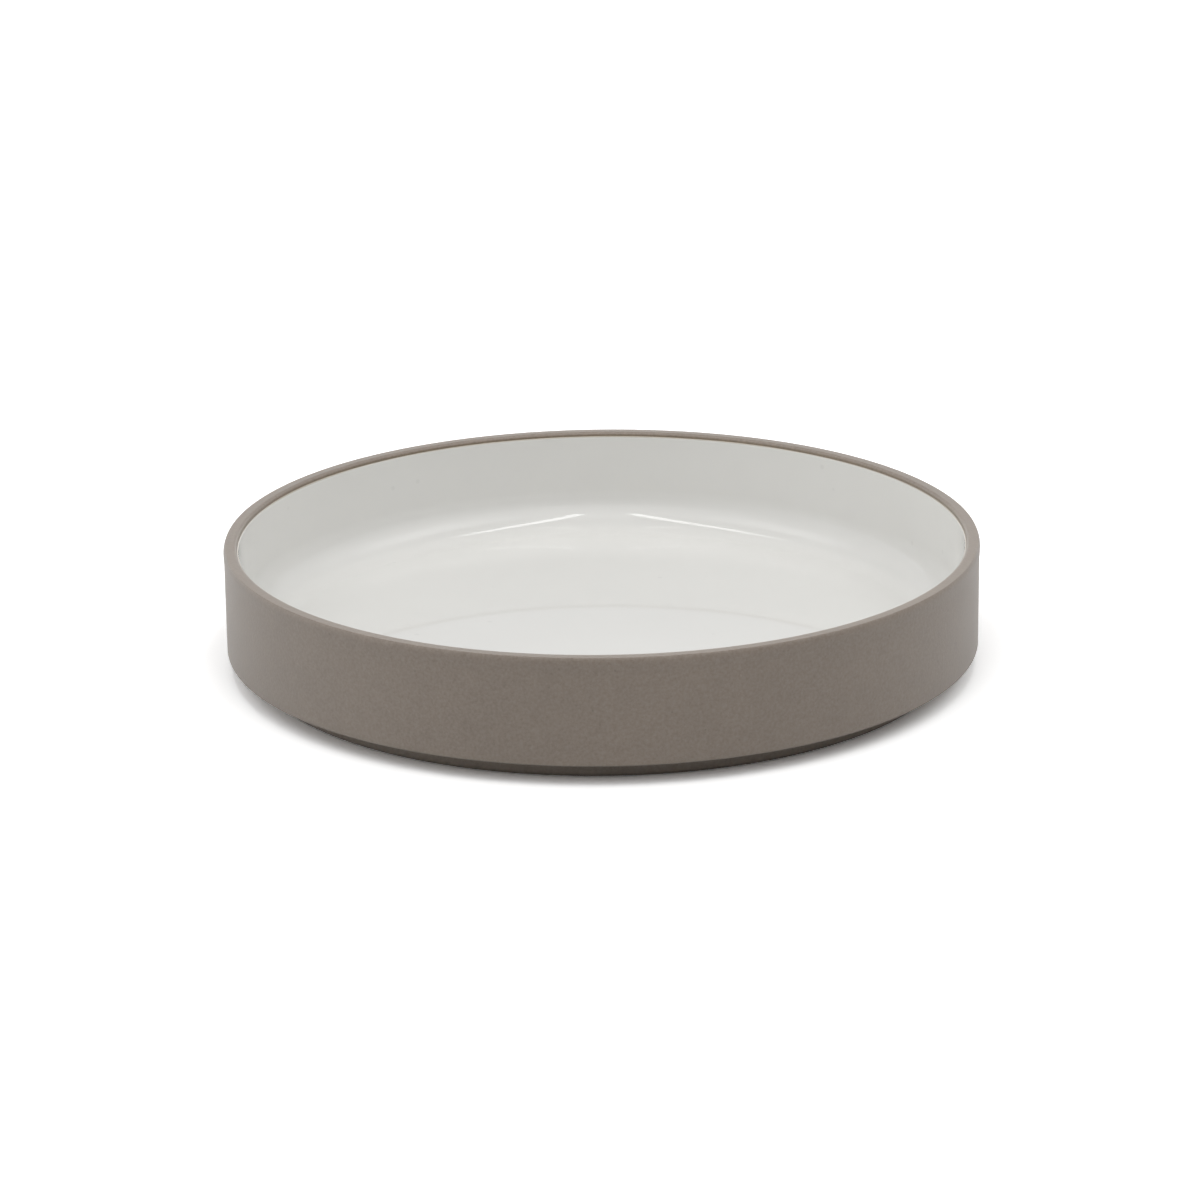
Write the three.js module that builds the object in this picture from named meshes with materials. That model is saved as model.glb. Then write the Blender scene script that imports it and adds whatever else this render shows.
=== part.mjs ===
// Low bowl: a straight-walled stoneware bowl on a stepped foot, glazed on the inside only.
// Millimetres, +Z up. The origin is on the bowl's axis, at the plane that the foot stands on.

import * as THREE from 'three';

// Clay body: wall and rim
const rimRadius = 110; // outside of the lip
const bowlHeight = 37; // foot plane to rim top
const wallThickness = 3.8; // straight wall, clay only
const lipProud = 0.15; // how far the lip stands out from the straight wall
const lipDrop = 3.5; // height over which the lip runs out into the wall
const lipRound = 3; // curve by which the lip leans in above its widest line
const lipTurn = 30; // degrees that it leans before the crisp rim edge
const rimOuterRound = 0.2;
const rimInnerRound = 1;

// Clay body: foot
const shoulderHeight = 5.9; // foot plane to the flat underside of the wall
const shoulderEdgeRound = 0.4;
const footRadius = 102.1; // small enough to drop inside the rim of a bowl below
const footFillet = 1; // corner between foot and shoulder
const footOuterRound = 1.3; // outer edge of the standing face
const footInnerRound = 0.6;
const footRingWidth = 6;
const recessDepth = 2.6; // hollow under the base, inside the foot ring
const recessFillet = 1.5;

// Inside
const baseThickness = 4; // clay floor above the recess, where it meets the cove
const floorCrown = 1.8; // rise of the floor from the cove to the middle
const coveRadius = 12; // clay corner between floor and wall
const glazeThickness = 0.4;
const glazeLineDrop = 1.2; // bare clay inside, from the rim top down to the glaze

// Facets
const turnSegments = 96;
const coveSteps = 8;
const floorSteps = 4;
const roundSteps = 3;
const lipSteps = 4;

// Sizes that follow from the ones above
const wallRadius = rimRadius - lipProud;
const innerRadius = wallRadius - wallThickness;
const footInnerRadius = footRadius - footRingWidth;
const floorHeight = recessDepth + baseThickness;
const glazeLine = bowlHeight - glazeLineDrop;
const lipLean = THREE.MathUtils.degToRad(lipTurn);
const lipToEdge = lipRound - rimOuterRound; // between the centres of the two curves
const lipHeight = bowlHeight - rimOuterRound - lipToEdge * Math.sin(lipLean); // where the lip is widest

// A profile is a list of (radius, height) points, run anticlockwise: out along the
// bottom, up the outside, in over the top and down the inside to the axis.
const point = (radius, height) => new THREE.Vector2(radius, height);

// An arc about a centre, from one angle to another in degrees from the outward direction.
function arc(centreRadius, centreHeight, radius, fromDegrees, toDegrees, steps = roundSteps) {
  return Array.from({ length: steps + 1 }, (_, i) => {
    const angle = THREE.MathUtils.degToRad(THREE.MathUtils.lerp(fromDegrees, toDegrees, i / steps));
    return point(centreRadius + radius * Math.cos(angle), centreHeight + radius * Math.sin(angle));
  });
}

// Underside: the recess, the flat ring that the bowl stands on and the foot's outer wall.
function footProfile() {
  return [
    point(0, recessDepth),
    ...arc(footInnerRadius - recessFillet, recessDepth - recessFillet, recessFillet, 90, 0),
    ...arc(footInnerRadius + footInnerRound, footInnerRound, footInnerRound, 180, 270),
    ...arc(footRadius - footOuterRound, footOuterRound, footOuterRound, 270, 360),
    ...arc(footRadius + footFillet, shoulderHeight - footFillet, footFillet, 180, 90),
  ];
}

// Outside: the crisp lower edge of the wall, the straight wall and the lip's gentle run-out.
function wallProfile() {
  const lipFoot = lipHeight - lipDrop;
  const lipMiddle = (lipHeight + lipFoot) / 2;
  const lip = new THREE.CubicBezierCurve(
    point(wallRadius, lipFoot),
    point(wallRadius, lipMiddle),
    point(rimRadius, lipMiddle),
    point(rimRadius, lipHeight),
  );
  const edgeCentre = shoulderHeight + shoulderEdgeRound;
  return [
    ...arc(wallRadius - shoulderEdgeRound, edgeCentre, shoulderEdgeRound, 270, 360),
    ...lip.getPoints(lipSteps).slice(0, -1),
  ];
}

// Top: the lip leaning in, and the flat rim with its two rounded edges.
function rimProfile() {
  const lipCentre = rimRadius - lipRound;
  const edgeCentre = lipCentre + lipToEdge * Math.cos(lipLean);
  return [
    ...arc(lipCentre, lipHeight, lipRound, 0, lipTurn),
    ...arc(edgeCentre, bowlHeight - rimOuterRound, rimOuterRound, lipTurn, 90).slice(1),
    ...arc(innerRadius + rimInnerRound, bowlHeight - rimInnerRound, rimInnerRound, 90, 180),
  ];
}

// Inside: wall, cove and crowned floor, from a top edge down to the axis. The cove turns a
// little past level to meet the crown's slope. The inset moves the whole surface inwards,
// so clay and glaze share one form.
function insideProfile(top, inset) {
  const centreRadius = innerRadius - coveRadius;
  const centreHeight = floorHeight + coveRadius;
  const crownSlope = THREE.MathUtils.radToDeg(Math.atan2(2 * floorCrown, centreRadius));
  const cove = arc(centreRadius, centreHeight, coveRadius - inset, 360, 270 - crownSlope, coveSteps);
  const edge = cove.at(-1);
  const middle = point(0, edge.y + floorCrown);
  const floor = new THREE.QuadraticBezierCurve(edge, point(edge.x / 2, middle.y), middle);
  return [point(innerRadius - inset, top), ...cove, ...floor.getPoints(floorSteps).slice(1)];
}

function bodyProfile() {
  return [...footProfile(), ...wallProfile(), ...rimProfile(), ...insideProfile(glazeLine, 0)];
}

// The coat lies on the clay point for point and ends at the glaze line in a rounded edge.
function glazeProfile() {
  const edge = arc(innerRadius, glazeLine - glazeThickness, glazeThickness, 90, 180);
  return [
    ...insideProfile(glazeLine, 0).reverse(),
    ...edge.slice(1, -1),
    ...insideProfile(glazeLine - glazeThickness, glazeThickness),
  ];
}

// Turn a profile once round the bowl's axis.
function turned(name, profile, material) {
  const geometry = new THREE.LatheGeometry(profile, turnSegments);
  geometry.rotateX(Math.PI / 2);
  const mesh = new THREE.Mesh(geometry, material);
  mesh.name = name;
  return mesh;
}

const bareClay = new THREE.MeshStandardMaterial({ color: '#9c9187', roughness: 0.85, metalness: 0 });
const whiteGlaze = new THREE.MeshStandardMaterial({ color: '#e4e3de', roughness: 0.12, metalness: 0 });

const bowl = new THREE.Group();
bowl.add(turned('stoneware_body', bodyProfile(), bareClay));
bowl.add(turned('interior_glaze', glazeProfile(), whiteGlaze));

export default bowl;
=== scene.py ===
# Low bowl, dressed: bare matte stoneware outside, a glossy pale glaze inside, on a white studio floor.
import bpy
import numpy as np
from mathutils import Matrix


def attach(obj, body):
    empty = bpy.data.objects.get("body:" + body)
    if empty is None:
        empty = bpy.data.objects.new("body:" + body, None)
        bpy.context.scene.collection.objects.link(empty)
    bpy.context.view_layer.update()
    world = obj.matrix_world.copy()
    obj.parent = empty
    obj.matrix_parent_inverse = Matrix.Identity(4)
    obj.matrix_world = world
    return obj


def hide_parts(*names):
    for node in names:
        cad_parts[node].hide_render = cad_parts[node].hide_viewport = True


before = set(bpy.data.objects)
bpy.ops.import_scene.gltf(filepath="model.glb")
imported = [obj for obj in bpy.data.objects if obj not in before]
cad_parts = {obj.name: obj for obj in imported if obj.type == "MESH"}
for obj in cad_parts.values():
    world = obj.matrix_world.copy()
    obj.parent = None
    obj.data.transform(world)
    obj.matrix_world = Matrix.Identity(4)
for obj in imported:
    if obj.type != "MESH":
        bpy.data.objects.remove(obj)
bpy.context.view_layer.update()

mm = 0.001
print("frame loaded with", sorted(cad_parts))


# Points on a circle: centre plus radius times (cos a, sin a), a running evenly between two angles.
def arcPoints(centreR, centreZ, radius, fromDeg, toDeg, count):
    a = np.radians(np.linspace(fromDeg, toDeg, count))
    return np.stack([centreR + radius * np.cos(a), centreZ + radius * np.sin(a)], axis=1)


# A straight run: even steps from one (radius, height) point to the next, both ends left out.
def straightRun(start, end, count):
    t = np.linspace(0, 1, count + 2)[1:-1, None]
    return np.asarray(start) * (1 - t) + np.asarray(end) * t


# A smooth step: 0 below one value, 1 above the other, 3t^2 - 2t^3 between them.
def smoothStep(low, high, value):
    t = np.clip((value - low) / (high - low), 0, 1)
    return t * t * (3 - 2 * t)


# Across a profile: the tangent turned a quarter to the right, so it points out of the solid.
def profileNormals(profile):
    along = np.gradient(profile, axis=0)
    across = np.stack([along[:, 1], -along[:, 0]], axis=1)
    return across / np.maximum(np.linalg.norm(across, axis=1, keepdims=True), 1e-9)


# A turned surface: ring i, column j is profile point i swung to angle 2 pi j / columns, pushed out along
# the profile's normal by the offset grid and up by the lift grid. The first and last points lie on the
# axis.
def turnedMesh(name, profile, columns, offset, lift):
    angle = np.linspace(0, 2 * np.pi, columns, endpoint=False)
    moved = profile[:, None, :] + profileNormals(profile)[:, None, :] * offset[:, :, None]
    moved[..., 1] += lift
    rings = moved[1:-1]
    r, z = rings[..., 0], rings[..., 1]
    ringPoints = np.stack([r * np.sin(angle), -r * np.cos(angle), z], axis=-1).reshape(-1, 3)
    poles = np.array([[0, 0, moved[0, :, 1].mean()], [0, 0, moved[-1, :, 1].mean()]])
    points = np.concatenate([ringPoints, poles]) * mm

    count = len(rings)
    index = np.arange(count * columns).reshape(count, columns)
    after = np.roll(index, -1, axis=1)
    quads = np.stack([index[:-1], after[:-1], after[1:], index[1:]], axis=-1).reshape(-1, 4)
    first, last = count * columns, count * columns + 1
    startFan = np.stack([np.full(columns, first), after[0], index[0]], axis=-1)
    endFan = np.stack([np.full(columns, last), index[-1], after[-1]], axis=-1)

    mesh = bpy.data.meshes.new(name)
    mesh.from_pydata(points.tolist(), [], startFan.tolist() + quads.tolist() + endFan.tolist())
    mesh.polygons.foreach_set("use_smooth", np.ones(len(mesh.polygons), dtype=bool))
    mesh.update()
    made = bpy.data.objects.new(name, mesh)
    bpy.context.collection.objects.link(made)
    return made


# Slow unevenness of hand-finished clay: a sum of cosines round the bowl, wave n divided by n, each with
# its own phase that drifts with height, at most by so many radians for each millimetre.
mostDrift = 0.06


def handUneven(profile, columns, size, waves, seed):
    rng = np.random.default_rng(seed)
    angle = np.linspace(0, 2 * np.pi, columns, endpoint=False)
    wave = np.arange(waves[0], waves[1])
    phase = rng.uniform(0, 2 * np.pi, len(wave))
    drift = rng.uniform(-mostDrift, mostDrift, len(wave))
    height = profile[:, 1][:, None, None]
    terms = np.cos(wave * angle[None, :, None] + phase + drift * height) / wave
    return size * terms.sum(axis=2)


# Bowl sizes, in millimetres, the same as the solids have.
bowl = dict(
    rimRadius=110.0, height=37.0, wallThickness=3.8, lipProud=0.15, lipDrop=3.5,
    lipRound=3.0, lipTurn=30.0, rimOuterRound=0.2, rimInnerRound=1.0,
    shoulderHeight=5.9, shoulderEdgeRound=0.4, footRadius=102.1, footFillet=1.0,
    footOuterRound=1.3, footInnerRound=0.6, footRingWidth=6.0, recessDepth=2.6, recessFillet=1.5,
    floorHeight=6.6, floorCrown=1.8, coveRadius=12.0, glazeThickness=0.4, glazeLineDrop=1.2,
    columns=384,
)
wallRadius = bowl["rimRadius"] - bowl["lipProud"]
innerRadius = wallRadius - bowl["wallThickness"]
glazeLine = bowl["height"] - bowl["glazeLineDrop"]
lipLean = np.radians(bowl["lipTurn"])
lipToEdge = bowl["lipRound"] - bowl["rimOuterRound"]
lipTop = bowl["height"] - bowl["rimOuterRound"] - lipToEdge * np.sin(lipLean)

# Points on each curve and steps on each straight run of the profile. Surfaces that the glaze hides have
# few, and the glossy one has many.
facets = dict(
    fillet=7, footRound=9, recess=14, ring=4, footWall=3,
    shoulder=4, shoulderEdge=6, wall=24, lip=14,
    lean=8, crispEdge=7, rimFlat=6, rimInner=10, glazeEdge=7,
    hidden=dict(wallSteps=6, coveSteps=12, floorSteps=8),
    glossy=dict(wallSteps=20, coveSteps=48, floorSteps=90),
)


# Foot: flat recess, fillet, standing ring with rounded edges, foot wall, fillet.
def footRun():
    b, f = bowl, facets
    inner = b["footRadius"] - b["footRingWidth"]
    soft, round_, fillet = b["footInnerRound"], b["footOuterRound"], b["recessFillet"]
    corner = b["footFillet"]
    recess = arcPoints(inner - fillet, b["recessDepth"] - fillet, fillet, 90, 0, f["fillet"])
    ringIn = arcPoints(inner + soft, soft, soft, 180, 270, f["fillet"])
    ringOut = arcPoints(b["footRadius"] - round_, round_, round_, 270, 360, f["footRound"])
    step = arcPoints(b["footRadius"] + corner, b["shoulderHeight"] - corner, corner, 180, 90, f["fillet"])
    middle = (0, b["recessDepth"])
    return np.concatenate([
        [middle], straightRun(middle, recess[0], f["recess"]), recess, ringIn,
        straightRun(ringIn[-1], ringOut[0], f["ring"]), ringOut,
        straightRun(ringOut[-1], step[0], f["footWall"]), step,
    ])


# Wall: flat shoulder, small rounded lower edge, straight wall, and the lip eased out by a smooth step.
def wallRun():
    b, f = bowl, facets
    soft = b["shoulderEdgeRound"]
    corner = (b["footRadius"] + b["footFillet"], b["shoulderHeight"])
    edge = arcPoints(wallRadius - soft, b["shoulderHeight"] + soft, soft, 270, 360, f["shoulderEdge"])
    lipFoot = lipTop - b["lipDrop"]
    z = np.linspace(lipFoot, lipTop, f["lip"])
    lip = np.stack([wallRadius + b["lipProud"] * smoothStep(lipFoot, lipTop, z), z], axis=1)
    return np.concatenate([
        straightRun(corner, edge[0], f["shoulder"]), edge,
        straightRun(edge[-1], lip[0], f["wall"]), lip[:-1],
    ])


# Rim: the lip leans in on a wide arc, a small arc turns it level, and the flat top ends in a rounded
# inner edge.
def rimRun():
    b, f = bowl, facets
    crisp, soft = b["rimOuterRound"], b["rimInnerRound"]
    centreR = b["rimRadius"] - b["lipRound"]
    crispR = centreR + lipToEdge * np.cos(lipLean)
    lean = arcPoints(centreR, lipTop, b["lipRound"], 0, b["lipTurn"], f["lean"])
    outer = arcPoints(crispR, b["height"] - crisp, crisp, b["lipTurn"], 90, f["crispEdge"])
    inner = arcPoints(innerRadius + soft, b["height"] - soft, soft, 90, 180, f["rimInner"])
    return np.concatenate([lean, outer[1:], straightRun(outer[-1], inner[0], f["rimFlat"]), inner])


# Inside: wall, cove and crowned floor from a top edge down to the axis, moved inwards by the inset. The
# floor is the parabola middle - crown * (r / edge)^2, and the cove turns a little past level to meet it.
def insideRun(top, inset, wallSteps, coveSteps, floorSteps):
    b = bowl
    centreR, centreZ = innerRadius - b["coveRadius"], b["floorHeight"] + b["coveRadius"]
    slope = np.degrees(np.arctan2(2 * b["floorCrown"], centreR))
    start = (innerRadius - inset, top)
    cove = arcPoints(centreR, centreZ, b["coveRadius"] - inset, 360, 270 - slope, coveSteps)
    r = np.linspace(cove[-1, 0], 0, floorSteps + 1)[1:]
    rise = b["floorCrown"] * (1 - (r / cove[-1, 0]) ** 2)
    crown = np.stack([r, cove[-1, 1] + rise], axis=1)
    return np.concatenate([[start], straightRun(start, cove[0], wallSteps), cove, crown])


# Stoneware: the whole profile, out of true by a few hundredths on the outside and the rim. The unevenness
# fades out towards the glaze, and the foot ring and recess stay true.
clayForm = dict(
    uneven=0.03, waves=(2, 9), seed=11,
    trueInside=innerRadius + 0.2, unevenFrom=innerRadius + 1.5, trueBelow=bowl["recessDepth"] + 0.1,
)


def makeStoneware():
    c = clayForm
    profile = np.concatenate([footRun(), wallRun(), rimRun(), insideRun(glazeLine, 0, **facets["hidden"])])
    offset = handUneven(profile, bowl["columns"], c["uneven"], c["waves"], c["seed"])
    bare = smoothStep(c["trueInside"], c["unevenFrom"], profile[:, 0])
    bare[profile[:, 1] < c["trueBelow"]] = 0
    return turnedMesh("stoneware", profile, bowl["columns"], offset * bare[:, None], offset * 0)


# Glaze: its underside on the clay, a rounded edge that wanders up and down, and its own inner surface.
glazeForm = dict(
    edgeWander=0.1, waves=(3, 26), seed=5, stillBelow=glazeLine - 4, wanderFrom=glazeLine - 1,
)


def makeGlaze():
    g = glazeForm
    thick = bowl["glazeThickness"]
    edge = arcPoints(innerRadius, glazeLine - thick, thick, 90, 180, facets["glazeEdge"])
    profile = np.concatenate([
        insideRun(glazeLine, 0, **facets["hidden"])[::-1],
        edge[1:-1],
        insideRun(glazeLine - thick, thick, **facets["glossy"]),
    ])
    wander = handUneven(profile, bowl["columns"], g["edgeWander"], g["waves"], g["seed"])
    nearEdge = smoothStep(g["stillBelow"], g["wanderFrom"], profile[:, 1])
    return turnedMesh("glaze", profile, bowl["columns"], wander * 0, wander * nearEdge[:, None])


stoneware = makeStoneware()
glaze = makeGlaze()
print("surfaces:", len(stoneware.data.polygons), "clay faces,", len(glaze.data.polygons), "glaze faces")


# One node with its settings, each input a value or a link from another socket.
def node(tree, kind, inputs=None, **settings):
    made = tree.nodes.new(kind)
    for name, value in settings.items():
        setattr(made, name, value)
    for name, value in (inputs or {}).items():
        if isinstance(value, bpy.types.NodeSocket):
            tree.links.new(value, made.inputs[name])
        else:
            made.inputs[name].default_value = value
    return made


def maths(tree, operation, a, b=0.0):
    return node(tree, "ShaderNodeMath", {0: a, 1: b}, operation=operation).outputs[0]


# A value carried from one range to another, held at the ends, on a smooth step.
def ranged(tree, value, fromLow, fromHigh, toLow, toHigh):
    made = node(tree, "ShaderNodeMapRange", {
        "Value": value, "From Min": fromLow, "From Max": fromHigh, "To Min": toLow, "To Max": toHigh,
    }, interpolation_type="SMOOTHSTEP")
    return made.outputs["Result"]


def mixed(tree, factor, a, b):
    made = node(tree, "ShaderNodeMix", {"Factor": factor}, data_type="RGBA")
    for socket, value in ((made.inputs[6], a), (made.inputs[7], b)):
        if isinstance(value, bpy.types.NodeSocket):
            tree.links.new(value, socket)
        else:
            socket.default_value = value
    return made.outputs[2]


def scaled(tree, colour, factor):
    made = node(tree, "ShaderNodeVectorMath", {0: colour, "Scale": factor}, operation="SCALE")
    return made.outputs[0]


def newMaterial(name):
    made = bpy.data.materials.new(name)
    made.use_nodes = True
    made.node_tree.nodes.clear()
    return made, made.node_tree


def newGroup(name, inputs, outputs):
    made = bpy.data.node_groups.new(name, "ShaderNodeTree")
    for label in inputs:
        made.interface.new_socket(label, in_out="INPUT", socket_type="NodeSocketFloat")
    for label in outputs:
        made.interface.new_socket(label, in_out="OUTPUT", socket_type="NodeSocketFloat")
    return made, made.nodes.new("NodeGroupInput").outputs


# Fired mottle: noise about one half at two sizes, coarse and a fifth of it, each times its own strength.
mottle = dict(
    fineRatio=5.0, coarse=dict(Detail=2.0, Roughness=0.5), fine=dict(Detail=3.0, Roughness=0.6),
)


def mottleGroup():
    group, given = newGroup("firedMottle", ["Scale", "Coarse", "Fine"], ["Factor", "Height"])
    place = node(group, "ShaderNodeTexCoord").outputs["Object"]
    fineScale = maths(group, "MULTIPLY", given["Scale"], mottle["fineRatio"])
    coarse, fine = [
        node(group, "ShaderNodeTexNoise", {"Vector": place, "Scale": scale, **mottle[size]}).outputs["Fac"]
        for size, scale in (("coarse", given["Scale"]), ("fine", fineScale))
    ]
    slow = maths(group, "MULTIPLY", maths(group, "SUBTRACT", coarse, 0.5), given["Coarse"])
    quick = maths(group, "MULTIPLY", maths(group, "SUBTRACT", fine, 0.5), given["Fine"])
    factor = maths(group, "ADD", maths(group, "ADD", slow, quick), 1.0)
    node(group, "NodeGroupOutput", {"Factor": factor, "Height": fine})
    return group


# Kiln specks: small round marks, one in each chosen cell of a Voronoi pattern, solid out to a share of
# their size and fading from there.
speckSolid = 0.5


def speckGroup():
    group, given = newGroup("kilnSpecks", ["Scale", "Size", "Share"], ["Mask"])
    place = node(group, "ShaderNodeTexCoord").outputs["Object"]
    cells = node(group, "ShaderNodeTexVoronoi", {"Vector": place, "Scale": given["Scale"]})
    pick = node(group, "ShaderNodeSeparateColor", {"Color": cells.outputs["Color"]}).outputs["Red"]
    chosen = maths(group, "LESS_THAN", pick, given["Share"])
    reach = maths(group, "DIVIDE", cells.outputs["Distance"], given["Size"])
    spot = ranged(group, reach, speckSolid, 1.0, 1.0, 0.0)
    node(group, "NodeGroupOutput", {"Mask": maths(group, "MULTIPLY", spot, chosen)})
    return group


firedMottle = mottleGroup()
kilnSpecks = speckGroup()


def placed(tree, group, **values):
    made = node(tree, "ShaderNodeGroup", node_tree=group)
    for label, value in values.items():
        made.inputs[label].default_value = value
    return made.outputs


# Bare stoneware: taupe body with fine grain and slow clouds, a few dark and pale specks, and a strip on the
# inner face where the rim turns down to the glaze, toasted browner and darkened further with painted shade.
clayLook = dict(
    # The toasted colour is a fired brown tint plus painted shade for the rim's inner face, which sits in
    # shade.
    warm=(0.260, 0.197, 0.148, 1), cool=(0.221, 0.192, 0.164, 1), toastedShade=(0.200, 0.153, 0.106, 1),
    toastShadeFrom=innerRadius, toastShadeTo=innerRadius + 0.2, toastShadeAbove=glazeLine - 2,
    grain=dict(Scale=230.0, Coarse=0.16, Fine=0.85), clouds=dict(Scale=14.0, Coarse=0.22, Fine=0.12),
    dark=dict(Scale=330.0, Size=0.16, Share=0.16), pale=dict(Scale=270.0, Size=0.15, Share=0.1),
    darkDepth=0.18, paleLift=0.14, roughness=0.5, ior=1.7, sheen=0.24, grainHeight=0.00012, grainBump=0.5,
)


def bareStoneware():
    made, tree = newMaterial("bareStoneware")
    c = clayLook
    grain = placed(tree, firedMottle, **c["grain"])
    clouds = placed(tree, firedMottle, **c["clouds"])
    dark = placed(tree, kilnSpecks, **c["dark"])["Mask"]
    pale = placed(tree, kilnSpecks, **c["pale"])["Mask"]
    body = mixed(tree, grain["Height"], c["warm"], c["cool"])
    specked = maths(tree, "SUBTRACT", 1.0, maths(tree, "MULTIPLY", dark, c["darkDepth"]))
    specked = maths(tree, "ADD", specked, maths(tree, "MULTIPLY", pale, c["paleLift"]))
    tone = maths(tree, "MULTIPLY", maths(tree, "MULTIPLY", grain["Factor"], clouds["Factor"]), specked)

    place = node(tree, "ShaderNodeSeparateXYZ", {0: node(tree, "ShaderNodeTexCoord").outputs["Object"]})
    across = node(tree, "ShaderNodeCombineXYZ", {"X": place.outputs["X"], "Y": place.outputs["Y"]})
    radius = node(tree, "ShaderNodeVectorMath", {0: across.outputs[0]}, operation="LENGTH").outputs["Value"]
    # Painted shade and toasting: the inner face just above the glaze gets a browner, darker colour.
    toastShadeMask = ranged(tree, radius, c["toastShadeFrom"] * mm, c["toastShadeTo"] * mm, 1.0, 0.0)
    above = maths(tree, "GREATER_THAN", place.outputs["Z"], c["toastShadeAbove"] * mm)
    toastedShade = mixed(tree, maths(tree, "MULTIPLY", toastShadeMask, above), body, c["toastedShade"])

    rough = maths(tree, "MULTIPLY", grain["Factor"], c["roughness"])
    bump = node(tree, "ShaderNodeBump", {
        "Height": grain["Height"], "Distance": c["grainHeight"], "Strength": c["grainBump"]})
    shader = node(tree, "ShaderNodeBsdfPrincipled", {
        "Base Color": scaled(tree, toastedShade, tone), "Roughness": rough, "IOR": c["ior"],
        "Sheen Weight": c["sheen"], "Normal": bump.outputs["Normal"]})
    node(tree, "ShaderNodeOutputMaterial", {"Surface": shader.outputs["BSDF"]})
    return made


# Pale glaze: glossy off-white with faint clouds, a few pinholes, a slow ripple, and a thin edge that the
# clay shows through.
glazeLook = dict(
    colour=(0.758, 0.753, 0.728, 1), thin=(0.40, 0.35, 0.28, 1),
    thinFrom=glazeLine - 0.45, thinTo=glazeLine + 0.05,
    clouds=dict(Scale=16.0, Coarse=0.05, Fine=0.02), pinholes=dict(Scale=70.0, Size=0.07, Share=0.9),
    pinholeDepth=0.05, roughness=0.05, ior=1.54, rippleHeight=0.000004, rippleBump=0.6,
)


def paleGlaze():
    made, tree = newMaterial("paleGlaze")
    g = glazeLook
    clouds = placed(tree, firedMottle, **g["clouds"])
    pinholes = placed(tree, kilnSpecks, **g["pinholes"])["Mask"]
    place = node(tree, "ShaderNodeSeparateXYZ", {0: node(tree, "ShaderNodeTexCoord").outputs["Object"]})
    thin = ranged(tree, place.outputs["Z"], g["thinFrom"] * mm, g["thinTo"] * mm, 0.0, 1.0)
    body = mixed(tree, thin, g["colour"], g["thin"])
    sunk = maths(tree, "SUBTRACT", 1.0, maths(tree, "MULTIPLY", pinholes, g["pinholeDepth"]))
    tone = maths(tree, "MULTIPLY", clouds["Factor"], sunk)
    rough = maths(tree, "MULTIPLY", clouds["Factor"], g["roughness"])
    level = maths(tree, "SUBTRACT", clouds["Height"], pinholes)
    bump = node(tree, "ShaderNodeBump", {
        "Height": level, "Distance": g["rippleHeight"], "Strength": g["rippleBump"]})
    shader = node(tree, "ShaderNodeBsdfPrincipled", {
        "Base Color": scaled(tree, body, tone), "Roughness": rough, "IOR": g["ior"],
        "Normal": bump.outputs["Normal"]})
    node(tree, "ShaderNodeOutputMaterial", {"Surface": shader.outputs["BSDF"]})
    return made


stoneware.data.materials.append(bareStoneware())
glaze.data.materials.append(paleGlaze())
print("finishes: bare stoneware, pale glaze")

# Studio: a wide white floor, soft lamps overhead, and a dome lit in bands of height from the horizon up,
# each with its own light from the front, left, right and back: a bright backdrop low down behind, a bright
# front from half way up, a dim top. A step gives the heights between which one band fades into the next.
studio = dict(
    floorSize=6.0, floorCells=4, floorPlain=0.42, floorMirrored=1.0, floorSeen=1.4,
    bands=(
        dict(front=0.00, left=1.05, right=0.05, back=2.20),
        dict(front=0.22, left=0.95, right=0.80, back=0.58),
        dict(front=1.42, left=0.95, right=1.20, back=0.10),
        dict(front=1.50, left=0.54, right=0.54, back=0.54),
        dict(front=0.54, left=0.54, right=0.54, back=0.54),
    ),
    steps=((0.23, 0.29), (0.44, 0.60), (0.79, 0.91), (0.945, 1.0)),
)

# Lamps: the front and back ends are (x, y) for each metre of height. The right lamp is given, and the left
# one is its mirror image, set a little further out. The strengths run along each lamp, front to back.
lampPlace = dict(height=2.2, leftOut=0.045)
lamps = dict(
    stripLamp=dict(
        front=(0.10, -0.5), back=(0.38, 0.83), width=0.06, strengths=(5.5, 5.2, 4.4, 2.8, 1.2),
    ),
    sideLamp=dict(
        front=(0.55, -0.6), back=(0.98, 0.45), width=0.5, strengths=(0.4, 0.7, 0.95, 1.0, 0.95, 0.7, 0.4),
    ),
)


# Floor: a flat square grid, corners at plus and minus the size.
def makeFloor():
    s, count = studio["floorSize"], studio["floorCells"] + 1
    u, v = np.meshgrid(np.linspace(-s, s, count), np.linspace(-s, s, count))
    points = np.stack([u, v, np.zeros_like(u)], axis=-1).reshape(-1, 3)
    index = np.arange(count * count).reshape(count, count)
    corners = (index[:-1, :-1], index[:-1, 1:], index[1:, 1:], index[1:, :-1])
    quads = np.stack(corners, axis=-1).reshape(-1, 4)
    mesh = bpy.data.meshes.new("studioFloor")
    mesh.from_pydata(points.tolist(), [], quads.tolist())
    made = bpy.data.objects.new("studioFloor", mesh)
    bpy.context.collection.objects.link(made)
    material, tree = newMaterial("studioFloor")
    path = node(tree, "ShaderNodeLightPath").outputs
    mirrored = maths(tree, "MAXIMUM", path["Is Glossy Ray"], path["Is Transmission Ray"])
    tones = [node(tree, "ShaderNodeBsdfDiffuse", {"Color": (studio[name],) * 3 + (1,)}).outputs[0]
             for name in ("floorPlain", "floorMirrored", "floorSeen")]
    lit = node(tree, "ShaderNodeMixShader", {0: mirrored, 1: tones[0], 2: tones[1]}).outputs[0]
    shown = node(tree, "ShaderNodeMixShader", {0: path["Is Camera Ray"], 1: lit, 2: tones[2]}).outputs[0]
    node(tree, "ShaderNodeOutputMaterial", {"Surface": shown})
    mesh.materials.append(material)
    return made


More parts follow.
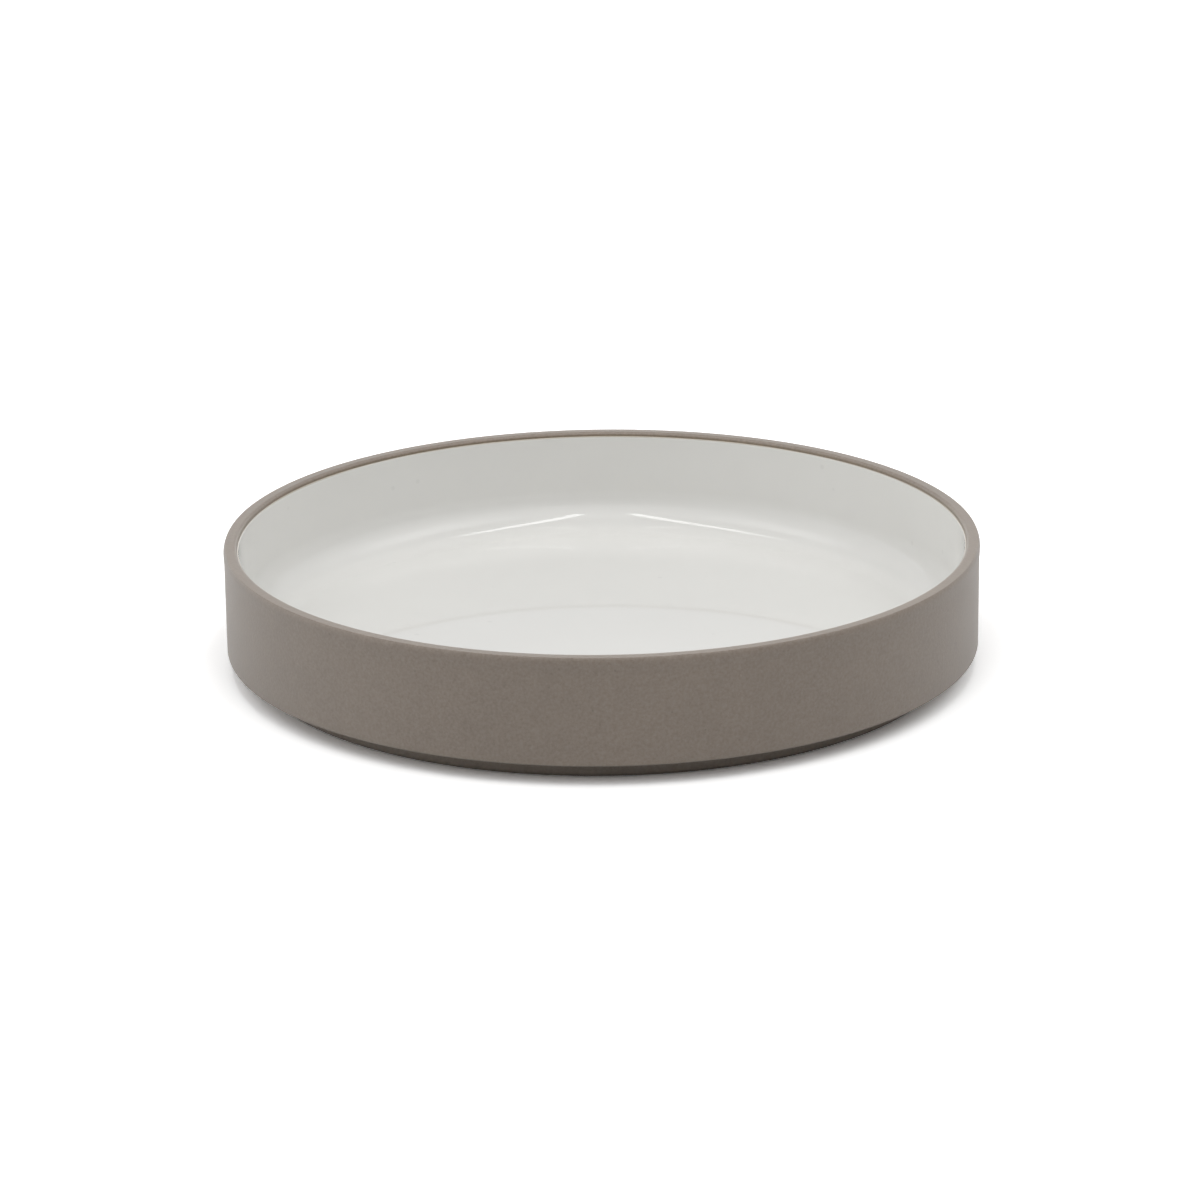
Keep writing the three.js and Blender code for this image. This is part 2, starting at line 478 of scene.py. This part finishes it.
# Flat lamps that face down, end to end from the front point to the back point at the lamps' height.
def addLamps(name, side, front, back, width, strengths):
    h = lampPlace["height"]
    if side < 0:
        front, back = [(-x - lampPlace["leftOut"], y) for x, y in (front, back)]
    ends = np.linspace(front, back, len(strengths) + 1) * h
    run = (ends[-1] - ends[0]) / len(strengths)
    for number, strength in enumerate(strengths):
        light = bpy.data.lights.new(name, "AREA")
        light.shape = "RECTANGLE"
        light.size, light.size_y = width * h, np.hypot(*run)
        light.energy = strength * light.size * light.size_y * np.pi
        made = bpy.data.objects.new(name, light)
        made.location = (*(ends[number] + run / 2), h)
        made.rotation_euler = (0, 0, np.arctan2(-run[0], run[1]))
        made.visible_camera = False
        bpy.context.collection.objects.link(made)


def vectors(tree, operation, a, b, output="Vector"):
    return node(tree, "ShaderNodeVectorMath", {0: a, 1: b}, operation=operation).outputs[output]


def blended(tree, factor, a, b):
    return node(tree, "ShaderNodeMix", {0: factor, 2: a, 3: b}, data_type="FLOAT").outputs[0]


# Dome: white to the camera. To everything else each band is right x^2 + back y^2, with left in place of
# right where x is negative and front in place of back where y is. (x, y) is the level part of the direction
# at length 1, and one band fades into the next over a step of the direction's height.
def makeDome():
    world = bpy.data.worlds.new("studioDome")
    world.use_nodes = True
    tree = world.node_tree
    tree.nodes.clear()
    aim = node(tree, "ShaderNodeTexCoord").outputs["Generated"]
    height = node(tree, "ShaderNodeSeparateXYZ", {0: aim}).outputs["Z"]
    flat = vectors(tree, "NORMALIZE", vectors(tree, "MULTIPLY", aim, (1, 1, 0)), (0, 0, 0))
    positive = vectors(tree, "MAXIMUM", flat, (0, 0, 0))
    negative = vectors(tree, "MINIMUM", flat, (0, 0, 0))
    positive = vectors(tree, "MULTIPLY", positive, positive)
    negative = vectors(tree, "MULTIPLY", negative, negative)
    level = None
    for band, step in zip(studio["bands"], (None, *studio["steps"])):
        rightBack = vectors(tree, "DOT_PRODUCT", positive, (band["right"], band["back"], 0), "Value")
        leftFront = vectors(tree, "DOT_PRODUCT", negative, (band["left"], band["front"], 0), "Value")
        lit = maths(tree, "ADD", rightBack, leftFront)
        level = blended(tree, ranged(tree, height, *step, 0.0, 1.0), level, lit) if step else lit
    seen = node(tree, "ShaderNodeLightPath").outputs["Is Camera Ray"]
    strength = blended(tree, seen, level, 1.0)
    sky = node(tree, "ShaderNodeBackground", {"Color": (1, 1, 1, 1), "Strength": strength})
    node(tree, "ShaderNodeOutputWorld", {"Surface": sky.outputs[0]})
    return world


makeFloor()
for name, lamp in lamps.items():
    addLamps(name + "Left", -1, **lamp)
    addLamps(name + "Right", 1, **lamp)
bpy.context.scene.world = makeDome()
print("studio: floor, dome and", len(bpy.data.lights), "lamps")

# Camera, fitted to the photograph: distance from the aim point, look-down angle, roll, small offsets.
view = dict(
    lens=139.286, sensor=36.0, distance=1.35765, lookDown=18.412, roll=0.637,
    right=-0.000669, up=-0.004702, aimHeight=0.021978, clipStart=0.05, clipEnd=50,
)


def makeCamera():
    down, roll = np.radians(view["lookDown"]), np.radians(view["roll"])
    ahead = np.array([0, np.cos(down), -np.sin(down)])
    right = np.array([1.0, 0, 0])
    up = np.cross(right, ahead)
    aim = np.array([0, 0, view["aimHeight"]])
    place = aim - ahead * view["distance"] + right * view["right"] + up * view["up"]
    rolledRight = right * np.cos(roll) - up * np.sin(roll)
    rolledUp = up * np.cos(roll) + right * np.sin(roll)
    data = bpy.data.cameras.new("studioCamera")
    data.lens, data.sensor_width, data.sensor_fit = view["lens"], view["sensor"], "HORIZONTAL"
    data.clip_start, data.clip_end = view["clipStart"], view["clipEnd"]
    made = bpy.data.objects.new("studioCamera", data)
    axes = np.eye(4)
    axes[:3, 0], axes[:3, 1], axes[:3, 2], axes[:3, 3] = rolledRight, rolledUp, -ahead, place
    made.matrix_world = Matrix(axes.tolist())
    bpy.context.collection.objects.link(made)
    return made


bpy.context.scene.camera = makeCamera()
bpy.context.scene.view_settings.view_transform = "Standard"
print("camera set")

pieces = (
    (stoneware, "stoneware_body", "bare_stoneware"),
    (glaze, "interior_glaze", "white_glaze"),
)
for piece, nodeName, slotName in pieces:
    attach(piece, "root")
    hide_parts(nodeName)

bpy.context.view_layer.update()
